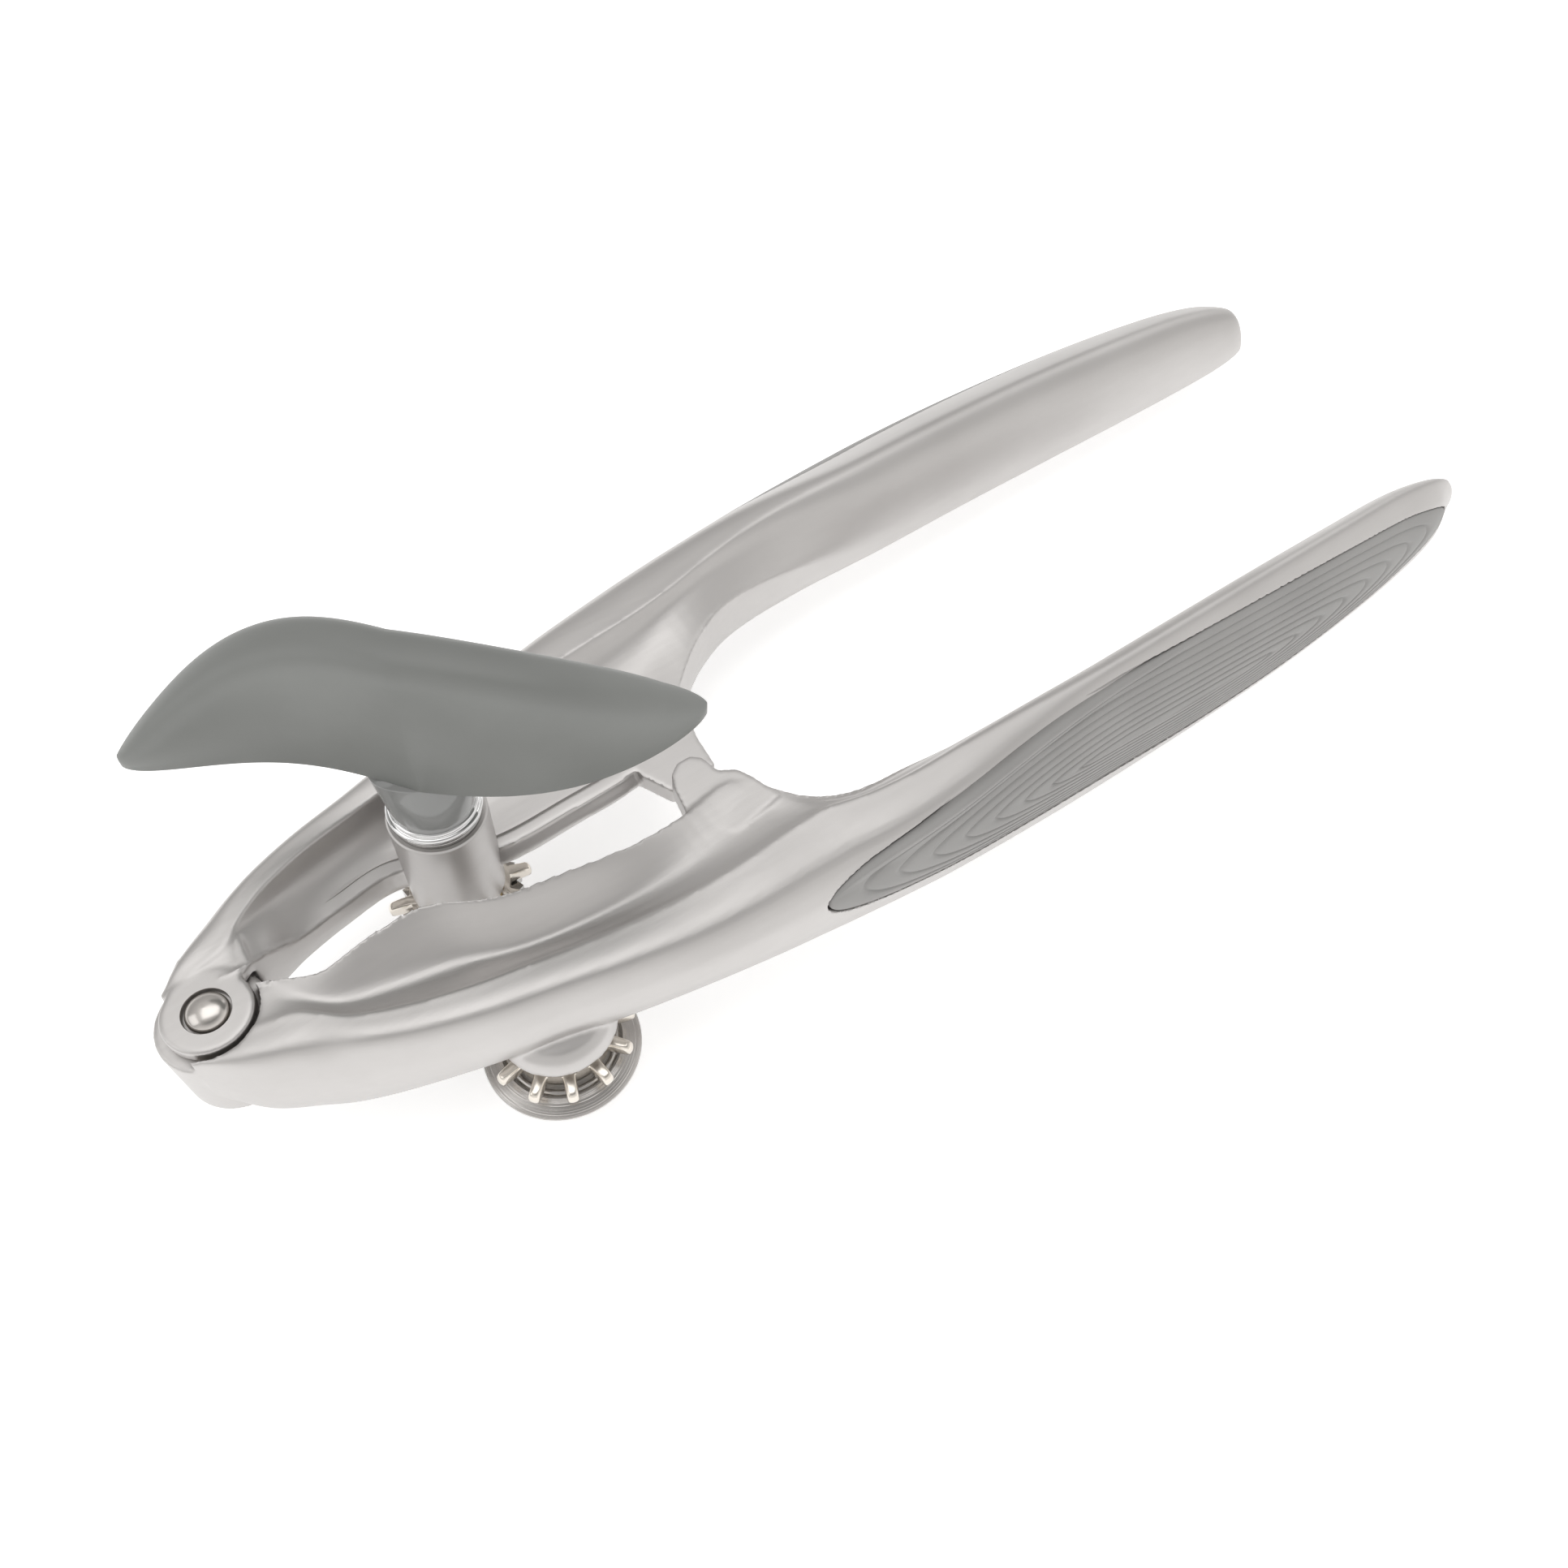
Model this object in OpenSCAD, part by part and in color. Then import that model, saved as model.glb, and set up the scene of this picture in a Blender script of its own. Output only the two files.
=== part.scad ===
// Hand-held twist-key can opener: two die-cast arms on a nose rivet, a winged
// key that drives a toothed feed wheel, and a geared cutter wheel.
// Working frame: Z runs up the pivot rivet, X runs from the nose to the handle
// ends, the key arm lies at +Y and the cutter arm at -Y. Rest pose is open.

/* [Pivot] */
// Radius of the eye of the key arm
eye_r = 5.2; // [4.8:0.1:5.4]
// Radius of the rivet's shank
rivet_r = 1.8; // [1.4:0.1:2]
// Radius of the rivet's domed head
rivet_head_r = 2.3; // [2.1:0.05:2.4]
// Thickness of the eye of the key arm
eye_h = 2.1; // [1.8:0.1:2.4]

/* [Key drive] */
// Distance of the key's axis from the pivot along X
drive_x = 32.4; // [32:0.1:33]
// Distance of the key's axis from the pivot along Y
drive_y = 4.6; // [4.4:0.1:5]
// Radius of the boss that carries the key's shaft
boss_r = 6; // [5.8:0.1:6.2]
// Height of the boss above the pivot seat
boss_top = 7; // [6:0.5:8]
// Radius of the key's shaft
shaft_r = 3; // [2.6:0.1:3.2]
// Radius of the feed wheel over its serrations
feed_r = 8; // [7.6:0.1:8.2]
// Number of serrations round the feed wheel
feed_teeth = 26; // [20:1:32]

/* [Key] */
// Reach of the wing's front lobe from the key's axis
wing_front = 30; // [28:0.5:31]
// Reach of the wing's rear lobe from the key's axis
wing_rear = 32.3; // [30:0.1:33]
// Thickness of the wing
wing_thick = 7; // [6:0.5:8]
// Height of the wing at its middle
wing_h = 21.5; // [20:0.5:22]

/* [Gears] */
// Number of teeth of both gears
gear_teeth = 12; // [12:1:12]
// Radius over the gears' tooth tips
gear_tip_r = 9.5; // [9.3:0.1:9.7]
// Radius of the gears' root circle
gear_root_r = 6.8; // [6.4:0.1:7]
// Thickness of both gears
gear_h = 2.1; // [1.8:0.1:2.2]

/* [Cutter] */
// Distance of the cutter's axis from the pivot along X
cutter_x = 31.6; // [31:0.1:32]
// Distance of the cutter's axis from the pivot along Y
cutter_y = -19.9; // [-20.5:0.1:-19.5]
// Radius of the cutter wheel
cutter_r = 10; // [9.6:0.1:10.4]
// Radius of the lobe that carries the cutter's axle
lobe_r = 7.4; // [7:0.1:7.6]
// Radius of the cutter's axle
axle_r = 2.2; // [2:0.1:2.5]

/* [Grips] */
// Length of each grip inlay
grip_length = 142; // [130:1:143]
// Height of each grip inlay at its middle
grip_height = 13.4; // [12:0.1:13.6]
// Depth of the pocket that holds the inlay
grip_depth = 2.2; // [1.6:0.1:2.6]

/* [Hidden] */
$fn = 64;

// The origin of the part is the middle of its footprint, at table height.
place_x = 106.3;
place_y = 2.32;
place_z = -20;

// Heights of the stacked pieces, measured from the pivot seat
boss_bottom = -9.8;
gear_top = -10.7;
gear_bottom = gear_top - gear_h;
feed_top = gear_bottom - 0.4;
feed_bottom = feed_top - 2;
stack_bottom = -18.4;
lobe_bottom = -8.6;
seat_bottom = -9.8;
sleeve_r = 3.2;
disc_top = -14.8;
disc_bottom = -16.6;
running_gap = 0.05;
wing_bottom = boss_top + 8.7;
wing_angle = -30;
front_sway = 4.4;
rear_sway = 2.8;
stem_bottom = boss_top + 2.6;
shaft_top = boss_top + 15;
tang_r = 2;
tab_bottom = -2.65;
// Middle of the inlays along the handles, their nearest reach from the X axis,
// their height, and their slope
grip_x = 137.5;
grip_y = 28;
grip_z = -9.2;
grip_tilt = 3.6;
pin_r = 0.8;
pin_length = 6;
// Turns of the gears at rest: their teeth interleave once the arms are closed
cutter_phase = 7.2;
drive_phase = 13;

// Each row is one station along an arm:
// x, inner edge, outer edge, lip height, dish height, crown height,
// bottom height, rim width, height of the web's underside.
// Edges are measured outwards from the X axis.
UPPER_ROWS = [
    [-3.2, 3.6, 5.6, 0.6, 1, 1.5, -7, 1.6, -3],
    [0, 3.2, 9.2, 1.4, 1.7, 2.1, -10.5, 4.2, -6],
    [5, 2.4, 12.8, 1.8, 1.9, 2.3, -11.5, 6.6, -7],
    [8, 3.2, 14.2, 0.6, 0.9, 2.4, -11.5, 5.4, -7],
    [12, 4.6, 14.8, -2.2, -0.8, 2.5, -11, 4.8, -7],
    [18, 5.8, 16.8, -3, -2, 2.5, -9.6, 4.7, -7],
    [25, 6.4, 18.5, -3, -2.2, 2.5, -8.8, 5, -7],
    [32, 4, 20.5, -3, -2.8, 2.3, -8.8, 5.6, -6.6],
    [38, 1.6, 22.3, -3, -3, 2.1, -8.8, 6.2, -6.2],
    [48, 1.2, 25.1, -3, -3, 1.8, -9.2, 7.2, -6],
    [58, 1.4, 28.1, -3, -3, 1.4, -11.5, 8.4, -6],
    [66, 4, 30.1, -3, -3, 1, -13.5, 9.4, -7.5],
    [72, 9.5, 31.5, -3, -2.6, 0.7, -15, 10.2, -9.5],
    [79, 14.7, 32.9, -2.8, -1.8, 0.5, -16.4, 10.4, -11],
    [88, 18.6, 34.5, -2.5, -1.4, 0.2, -17.4, 9.8, -12],
    [102, 20.1, 37.4, -2.5, -1.3, -0.1, -18.3, 9.8, -13],
    [120, 19.8, 40, -2.7, -1.5, -0.4, -18.8, 10.6, -13.5],
    [140, 19.8, 40.7, -3.1, -2, -0.9, -19.2, 11.4, -14],
    [162, 19.7, 40.5, -4, -2.9, -1.8, -19.8, 11.6, -14.8],
    [184, 19.1, 39.4, -5, -3.9, -3, -20, 11, -15],
    [201, 19.2, 37.6, -6.5, -5.4, -4.6, -19.6, 9.4, -15.6],
    [211, 19.1, 35.8, -8, -7, -6.2, -18.4, 7.6, -15.3],
    [216.4, 19.4, 33.8, -9.2, -8.4, -7.7, -16.8, 5.8, -14.5],
    [219, 20.5, 31.6, -10.6, -10.2, -9.7, -15, 3.2, -13.6]];
LOWER_ROWS = [
    [-4, 3.2, 5.2, 0.6, 1, 1.3, -8, 1.6, -3],
    [0, 0.6, 9.6, 1.4, 1.7, 1.9, -11, 5.4, -6],
    [5, -0.2, 12.9, 1.8, 1.9, 2.3, -12, 7.4, -8],
    [8, 1.2, 14.9, 1.9, 1.8, 2.5, -12, 8.4, -7],
    [12, 3.6, 16.9, 2.8, 1.6, 2.8, -11.2, 6.6, -3],
    [18, 3.8, 19.8, 4.2, 1.6, 3.1, -9.4, 6.4, -2],
    [25, 4.8, 22.4, 5.3, 1.5, 3.2, -8.6, 6.6, -1.6],
    [32, 8.9, 24.4, 5.6, 1.4, 3.1, -8.6, 7, -1.6],
    [40, 10.5, 26.7, 5, 1.2, 2.8, -8.8, 7.6, -1.8],
    [50, 11.2, 29, 3, 0.8, 2.2, -9.4, 8.6, -2.4],
    [59, 10.2, 30.3, 0.9, 0.4, 1.7, -11.5, 9.6, -2.6],
    [66, 9.6, 31, 0.5, 0.2, 1.2, -13.5, 10.6, -2.9],
    [69, 12.4, 31.3, 0.2, 0.1, 1, -14.4, 11, -6],
    [73, 16.8, 31.7, -0.6, 0, 0.8, -15.4, 11.4, -9],
    [79, 19.1, 32.3, -1.8, -0.9, 0.5, -16.4, 10.6, -11],
    [88, 19.6, 33.1, -2.3, -1.1, 0.2, -17.4, 10.4, -12],
    [102, 20, 33.8, -2.3, -1.2, -0.1, -18.3, 11.2, -13],
    [120, 20.6, 34.5, -2.5, -1.4, -0.4, -18.8, 12.4, -13.5],
    [140, 21.3, 35.5, -3.1, -2, -1, -19.2, 12.8, -14],
    [161, 21.9, 36.1, -4.4, -3.3, -2.2, -19.8, 11.8, -15],
    [182, 22.7, 35.9, -6, -4.9, -4, -20, 10.2, -15.4],
    [197, 23.3, 35.2, -7.8, -6.7, -5.9, -19.6, 8, -16],
    [207, 25.2, 34.1, -9.4, -8.4, -7.6, -18.4, 5.6, -15.8],
    [212, 27.5, 32.2, -10.8, -10, -9.3, -17, 3.8, -15],
    [214.4, 29.1, 31.4, -12.2, -11.8, -11.4, -15.4, 1.6, -14.2]];

// Smooth value of one column of a station table at x
function span_at(rows, x, i = 0) =
    i >= len(rows) - 2 || x < rows[i + 1][0] ? i : span_at(rows, x, i + 1);
function slope(rows, c, i) =
    let (a = max(i - 1, 0), b = min(i + 1, len(rows) - 1))
    (rows[b][c] - rows[a][c]) / (rows[b][0] - rows[a][0]);
function smooth(rows, c, x) =
    let (i = span_at(rows, x),
         w = rows[i + 1][0] - rows[i][0],
         t = (x - rows[i][0]) / w,
         a = rows[i][c],
         b = rows[i + 1][c])
    a * (2 * t * t * t - 3 * t * t + 1)
    + slope(rows, c, i) * w * (t * t * t - 2 * t * t + t)
    + b * (3 * t * t - 2 * t * t * t)
    + slope(rows, c, i + 1) * w * (t * t * t - t * t);

// Smooth step from 0 at a to 1 at b
function ramp(x, a, b) =
    let (t = min(max((x - a) / (b - a), 0), 1)) t * t * (3 - 2 * t);

// Outline of the jaw end of an arm: a lip, a dish and a rounded outer rim
function jaw_outline(wide, lip, dish, crown, bottom, rim, under) =
    let (web = wide - rim, h = crown - bottom)
    [[0, under],
     [0, lip - 0.4],
     [0.3 * min(web, 2), lip],
     [0.6 * web, dish],
     [0.95 * web, dish + 0.35 * (crown - dish)],
     [wide - 0.88 * rim, crown - 0.006 * rim * rim],
     [wide - 0.62 * rim, crown],
     [wide - 0.34 * rim, crown - 0.012 * rim * rim],
     [wide - 0.13 * rim, crown - 0.25 * h],
     [wide - 0.02 * rim, crown - 0.44 * h],
     [wide, crown - 0.58 * h],
     [wide - 0.06 * rim, crown - 0.78 * h],
     [wide - 0.22 * rim, bottom + 0.07 * h],
     [wide - 0.5 * rim, bottom],
     [wide - 0.8 * rim, bottom + 0.03 * h],
     [wide - 0.97 * rim, bottom + min(0.14 * h, 0.5 * (under - bottom))],
     [0.96 * web, under]];

// Outline of the handle end: a ridge between two slanted faces
function handle_outline(wide, crown, bottom, under) =
    let (h = crown - bottom, s = crown - under)
    [[0, under],
     [0, under + 0.1 * s],
     [0.03 * wide, under + 0.3 * s],
     [0.09 * wide, under + 0.55 * s],
     [0.16 * wide, under + 0.76 * s],
     [0.25 * wide, crown - 0.08 * s],
     [0.37 * wide, crown],
     [0.5 * wide, crown - 0.055 * h],
     [0.75 * wide, crown - 0.26 * h],
     [0.91 * wide, crown - 0.47 * h],
     [0.985 * wide, crown - 0.68 * h],
     [wide, crown - 0.86 * h],
     [0.95 * wide, crown - 0.97 * h],
     [0.78 * wide, bottom],
     [0.5 * wide, bottom + 0.05 * h],
     [0.25 * wide, bottom + 0.13 * h],
     [0.08 * wide, under - 0.06 * s]];

// Outline of an arm's cross-section at x, as [outward, up] points
function section(rows, x) =
    let (inner = smooth(rows, 1, x),
         outer = smooth(rows, 2, x),
         lip = smooth(rows, 3, x),
         dish = smooth(rows, 4, x),
         crown = smooth(rows, 5, x),
         bottom = smooth(rows, 6, x),
         wide = outer - inner,
         rim = min(smooth(rows, 7, x), wide - 0.7),
         under = min(smooth(rows, 8, x), lip - 1.2, dish - 1.2),
         jaw = jaw_outline(wide, lip, dish, crown, bottom, rim, under),
         handle = handle_outline(wide, crown, bottom, under),
         k = ramp(x, 72, 125))
    [for (i = [0:len(jaw) - 1]) [inner, 0] + (1 - k) * jaw[i] + k * handle[i]];

// Solid swept through the stations of one arm; side is 1 for +Y, -1 for -Y
module swept_arm(rows, side, steps = 46) {
    first = rows[0][0];
    last = rows[len(rows) - 1][0];
    n = len(section(rows, first));
    xs = [for (i = [0:steps])
        let (t = i / steps) first + (last - first) * (t - 0.06 * sin(360 * t))];
    points = [for (x = xs) for (p = section(rows, x)) [x, side * p[0], p[1]]];
    sides = [for (i = [0:steps - 1]) for (j = [0:n - 1])
        let (k = (j + 1) % n)
        for (f = [[i * n + j, i * n + k, (i + 1) * n + k],
                  [i * n + j, (i + 1) * n + k, (i + 1) * n + j]]) f];
    caps = [[for (j = [n - 1:-1:0]) j], [for (j = [0:n - 1]) steps * n + j]];
    faces = concat(sides, caps);
    polyhedron(points = points,
        faces = side < 0 ? [for (f = faces) [for (i = [len(f) - 1:-1:0]) f[i]]]
            : faces, convexity = 6);
}

module disc(r, z0, z1) {
    translate([0, 0, z0]) cylinder(r = r, h = z1 - z0);
}

module at_drive() {
    translate([drive_x, drive_y, 0]) children();
}

module at_cutter() {
    translate([cutter_x, cutter_y, 0]) children();
}

// Moves every piece from the working frame into the part's own frame
module placed() {
    translate([-place_x, -place_y, -place_z]) children();
}

// Lens-shaped prism of a grip inlay, seen from the handle's outer side
module grip_lens(side, grow) {
    half = grip_length / 2 + grow;
    rise = grip_height / 2 + grow;
    ts = [for (i = [-12:12]) i / 12];
    translate([grip_x, side * (grip_y + 20), grip_z]) rotate([90, grip_tilt, 0])
        linear_extrude(height = 40, center = true)
            polygon(concat([for (t = ts) [half * t, rise * (1.02 - t * t)]],
                [for (t = ts) [-half * t, -rise * (1.02 - t * t)]]));
}

// The lens-shaped space in the handle's outer face, down to an even depth
module grip_pocket(side, grow, rows) {
    difference() {
        grip_lens(side, grow);
        swept_arm([for (r = rows) [r[0], r[1], r[2] - grip_depth, r[3], r[4],
            r[5] - 1, r[6], r[7], r[8]]], side, 24);
    }
}

module upper_arm() {
    color("silver") placed() difference() {
        union() {
            difference() {
                swept_arm(UPPER_ROWS, 1);
                disc(6.8, -14, -0.02);
            }
            disc(eye_r, 0, eye_h);
            linear_extrude(height = 1.8)
                polygon([[-3.4, 3.4], [0, 8], [7, 6.5], [6.4, 2.6], [4.6, 1.6], [0, -2]]);
            at_drive() disc(boss_r, boss_bottom, boss_top);
            translate([0, 0, -6]) linear_extrude(height = 3)
                polygon([[58.4, 6], [58.6, 0], [60.4, -4.4], [64, -5.4], [67.6, -4.2],
                    [68.4, 0.8], [70.5, 7], [66, 9]]);
            at_drive() translate([0, 5, -6.4])
                linear_extrude(height = 3.4) square([11, 10], center = true);
        }
        disc(rivet_r + running_gap, -3, 3);
        disc(rivet_head_r + 0.3, 1, 4);
        at_drive() disc(4.4, -12, boss_top + 1);
        grip_pocket(1, 0, UPPER_ROWS);
    }
}

// Hollow under the tab that the key arm's ear swings into as the arms close
module ear_pocket() {
    near = 57;
    far = 71.6;
    sweep = 18.4;
    reach = 90;
    difference() {
        disc(far, -8.5, tab_bottom);
        disc(near, -9, 0);
        translate([0, 0, -10]) linear_extrude(height = 12)
            polygon([[0, 0], [reach * cos(sweep), -reach * sin(sweep)],
                [reach, -reach], [-reach, -reach], [-reach, reach], [0, reach]]);
    }
}

module lower_arm() {
    color("silver") placed() difference() {
        union() {
            difference() {
                swept_arm(LOWER_ROWS, -1);
                disc(eye_r + 0.4, -0.3, 6);
            }
            difference() {
                disc(6.4, -11.6, -0.3);
                translate([0, 0, -11.7]) difference() {
                    cylinder(r = 7, h = 1.6);
                    cylinder(r1 = 5, r2 = 6.4, h = 1.6);
                }
            }
            at_cutter() disc(lobe_r, lobe_bottom, 1);
            at_cutter() disc(5.6, seat_bottom, lobe_bottom + 1);
            translate([0, 0, tab_bottom]) linear_extrude(height = 3.05)
                polygon([[58, -12], [59.6, -5.8], [60.6, -4.0], [62.2, -3.0],
                    [64.2, -3.1], [65.4, -4.2], [65.8, -7], [67.9, -8.4],
                    [68.8, -10.4], [70, -15], [62, -16]]);
        }
        ear_pocket();
        disc(rivet_r, -14, 3);
        disc(3, -14, -10.6);
        at_cutter() disc(axle_r, -12, 0);
        grip_pocket(-1, 0, LOWER_ROWS);
    }
}

module grip(side, rows) {
    color("gray") placed() intersection() {
        grip_pocket(side, -0.1, rows);
        swept_arm([for (r = rows) [r[0], r[1], r[2] + 0.25, r[3], r[4], r[5] + 0.1,
            r[6] - 0.1, r[7], r[8]]], side);
    }
}

module upper_grip() {
    grip(1, UPPER_ROWS);
}

module lower_grip() {
    grip(-1, LOWER_ROWS);
}

module pivot_rivet() {
    color("gainsboro") placed() {
        disc(rivet_r, -11.3, 1);
        translate([0, 0, 1]) intersection() {
            cylinder(r = rivet_head_r, h = 2);
            translate([0, 0, -2.2]) sphere(r = 3.6);
        }
        disc(2.4, -11.6, -11.1);
    }
}

module ring(outer, inner, z0, z1) {
    difference() {
        disc(outer, z0, z1);
        disc(inner, z0 - 1, z1 + 1);
    }
}

module pivot_washer() {
    color("goldenrod") placed() ring(4.4, rivet_r + 0.1, -0.3, -0.05);
}

module pivot_burr_washer() {
    color("silver") placed() ring(2.9, rivet_r, -11.1, -10.6);
}

module shaft_bushing() {
    color("silver") placed() at_drive() difference() {
        union() {
            disc(4.4, boss_bottom, boss_top);
            disc(5.4, boss_top, boss_top + 0.7);
        }
        disc(shaft_r + running_gap, boss_bottom - 1, boss_top + 2);
    }
}

module wave_washer() {
    color("silver") placed() at_drive()
        ring(5.2, shaft_r + 0.1, boss_top + 0.75, boss_top + 1.2);
}

module knob_collar() {
    color("white") placed() at_drive() difference() {
        union() {
            disc(5.7, boss_top + 1.2, boss_top + 1.9);
            disc(5.3, boss_top + 1.9, boss_top + 2.6);
        }
        disc(shaft_r, 0, 30);
    }
}

module knob_stem() {
    color("gray") placed() at_drive() difference() {
        intersection() {
            translate([0, 0, stem_bottom])
                cylinder(r1 = 5.1, r2 = 6.2, h = wing_bottom - stem_bottom);
            rotate([90, 0, wing_angle + 90]) linear_extrude(height = 20, center = true)
                polygon([[-5.2, stem_bottom], [5.2, stem_bottom],
                    [wing_thick / 2, wing_bottom], [-wing_thick / 2, wing_bottom]]);
        }
        disc(shaft_r, 0, wing_bottom - 1);
        disc(tang_r, 0, wing_bottom + 1);
    }
}

module pin_hole(length) {
    translate([0, 0, shaft_top - 2]) rotate([90, 0, wing_angle])
        cylinder(r = pin_r, h = length, center = true);
}

module knob_pin() {
    color("silver") placed() at_drive() pin_hole(pin_length);
}

// The wing in plan: an S-shaped centre line and the half thickness beside it
function wing_mid(t) = t < 0 ? [t * wing_front, -front_sway * sin(180 * t)]
    : [t * wing_rear, -rear_sway * sin(180 * t)];
function wing_half(t) = wing_thick / 2 * pow(max(0, 1 - pow(abs(t), 5)), 0.5);

// The wing from the side: crowned above, bowed below
function wing_upper(t) = wing_bottom + wing_h - 14 * pow(abs(t), 2.2);
function wing_lower(t) = wing_bottom + 6 * pow(abs(t), 1.6);

module knob_wing() {
    n = 24;
    ts = [for (i = [-n:n]) i / n];
    back = [for (i = [2 * n:-1:0]) ts[i]];
    color("dimgray") placed() at_drive() rotate([0, 0, wing_angle]) difference() {
        intersection() {
            linear_extrude(height = 60)
                polygon(concat(
                    [for (t = ts) wing_mid(t) + [0, wing_half(t) + 0.05]],
                    [for (t = back) wing_mid(t) - [0, wing_half(t) + 0.05]]));
            rotate([90, 0, 0]) linear_extrude(height = 40, center = true)
                polygon(concat(
                    [for (t = ts) [wing_mid(t)[0] * 1.01, wing_upper(t)]],
                    [for (t = back) [wing_mid(t)[0] * 1.01, wing_lower(t)]]));
        }
        disc(tang_r, 0, shaft_top);
        rotate([0, 0, -wing_angle]) pin_hole(pin_length);
    }
}

module drive_shaft() {
    color("gainsboro") placed() at_drive() difference() {
        union() {
            disc(shaft_r, feed_bottom - 1.4, wing_bottom - 1);
            disc(tang_r, 0, shaft_top);
        }
        pin_hole(12);
    }
}

module thrust_washer() {
    color("goldenrod") placed() at_drive()
        ring(5.6, shaft_r + 0.1, gear_top, boss_bottom - 0.05);
}

// Spur gear with slender straight-sided teeth
module gear(phase) {
    tip = 10.5;
    root = 19;
    translate([0, 0, gear_bottom]) linear_extrude(height = gear_h) rotate(phase)
        polygon([for (i = [0:gear_teeth - 1])
            for (p = [[-root / 2, gear_root_r], [-tip / 2, gear_tip_r - 0.15],
                      [-tip / 4, gear_tip_r], [tip / 4, gear_tip_r],
                      [tip / 2, gear_tip_r - 0.15], [root / 2, gear_root_r]])
            let (a = i * 360 / gear_teeth + p[0])
            [p[1] * cos(a), p[1] * sin(a)]]);
}

module drive_gear() {
    color("burlywood") placed() at_drive() difference() {
        gear(drive_phase);
        disc(shaft_r, -20, 0);
    }
}

module feed_wheel() {
    color("silver") placed() at_drive() difference() {
        translate([0, 0, feed_bottom]) linear_extrude(height = feed_top - feed_bottom)
            polygon([for (i = [0:2 * feed_teeth - 1])
                let (a = i * 180 / feed_teeth, r = i % 2 == 0 ? feed_r : feed_r - 0.8)
                [r * cos(a), r * sin(a)]]);
        disc(shaft_r, -20, 0);
    }
}

module feed_nut() {
    color("silver") placed() at_drive() difference() {
        union() {
            translate([0, 0, stack_bottom]) cylinder(r = 4.2, h = 2.2, $fn = 6);
            disc(4, feed_bottom - 1, feed_bottom);
        }
        disc(shaft_r, feed_bottom - 1.4, 0);
    }
}

module cutter_axle() {
    color("silver") placed() at_cutter() {
        disc(axle_r, disc_bottom - 0.2, -0.5);
        difference() {
            disc(3.9, stack_bottom, disc_bottom - 0.1);
            translate([0, 0, stack_bottom - 0.1])
                cylinder(r = 1.9, h = 1, $fn = 6);
        }
    }
}

module cutter_sleeve() {
    color("goldenrod") placed() at_cutter()
        ring(sleeve_r, axle_r, disc_bottom - 0.1, seat_bottom);
}

module cutter_spring_washer() {
    color("silver") placed() at_cutter()
        ring(5.4, sleeve_r, gear_top + 0.1, seat_bottom);
}

module cutter_gear() {
    color("burlywood") placed() at_cutter() difference() {
        gear(cutter_phase);
        disc(sleeve_r + running_gap, -20, 0);
    }
}

module cutter_spacer() {
    color("silver") placed() at_cutter()
        ring(5, sleeve_r + running_gap, disc_top, gear_bottom);
}

module cutter_wheel() {
    color("silver") placed() at_cutter() difference() {
        rotate_extrude($fn = 96) polygon([
            [0, disc_top], [5.6, disc_top], [5.6, disc_top - 0.35],
            [6.8, disc_top - 0.35], [6.8, disc_top - 0.1], [7.6, disc_top - 0.1],
            [cutter_r, -16], [7, disc_bottom], [0, disc_bottom]]);
        disc(sleeve_r + running_gap, -20, 0);
    }
}

upper_arm();
lower_arm();
upper_grip();
lower_grip();
pivot_rivet();
pivot_washer();
pivot_burr_washer();
shaft_bushing();
drive_shaft();
knob_wing();
knob_stem();
knob_collar();
knob_pin();
wave_washer();
thrust_washer();
drive_gear();
feed_wheel();
feed_nut();
cutter_axle();
cutter_sleeve();
cutter_spring_washer();
cutter_gear();
cutter_spacer();
cutter_wheel();
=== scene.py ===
"""Looks of the hand-held can opener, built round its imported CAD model.

Shapes are written in millimetres in the tool's working frame: Z runs up the
pivot rivet, X runs from the nose to the handle ends, the key arm is at +Y.
"""

import math

import bmesh
import bpy
import numpy as np
from mathutils import Matrix, Vector


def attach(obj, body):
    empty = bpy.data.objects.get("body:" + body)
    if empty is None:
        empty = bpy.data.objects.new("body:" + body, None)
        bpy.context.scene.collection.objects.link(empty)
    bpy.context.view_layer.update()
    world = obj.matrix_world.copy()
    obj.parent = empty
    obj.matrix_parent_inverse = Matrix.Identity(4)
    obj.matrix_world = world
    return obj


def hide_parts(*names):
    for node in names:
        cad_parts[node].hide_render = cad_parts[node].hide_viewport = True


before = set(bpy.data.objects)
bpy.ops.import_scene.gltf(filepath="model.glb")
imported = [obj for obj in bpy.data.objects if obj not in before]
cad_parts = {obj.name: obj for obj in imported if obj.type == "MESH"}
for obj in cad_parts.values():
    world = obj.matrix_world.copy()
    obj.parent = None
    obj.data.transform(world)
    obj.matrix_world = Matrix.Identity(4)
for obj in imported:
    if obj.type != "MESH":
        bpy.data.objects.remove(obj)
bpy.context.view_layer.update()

# The row frame's origin, in the working frame, in millimetres
ORIGIN = np.array([106.3, 2.32, -20.0])
DRIVE = (32.4, 4.6)
CUTTER = (31.6, -19.9)
# How far the arms turn from their open rest to closed
CLOSED = math.radians(12)
BOSS_R = 6.0
BOSS_TOP = 7.0
BOSS_BOTTOM = -9.8
GEAR_BOTTOM = -12.8
GEAR_TEETH = 12
# Angle of each gear's first tooth
DRIVE_PHASE = math.radians(13)
CUTTER_PHASE = math.radians(7.2)
STEM_BOTTOM = 9.6
WING_BOTTOM = 15.7
WING_ANGLE = math.radians(-30)
WING_TOP = 37.2
SKIN_VOXEL = 0.00026


def metres(points):
    """Points of the working frame, in millimetres, as row-frame metres."""
    return (np.asarray(points, float) - ORIGIN) / 1000.0


# ---------------------------------------------------------------- materials


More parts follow.
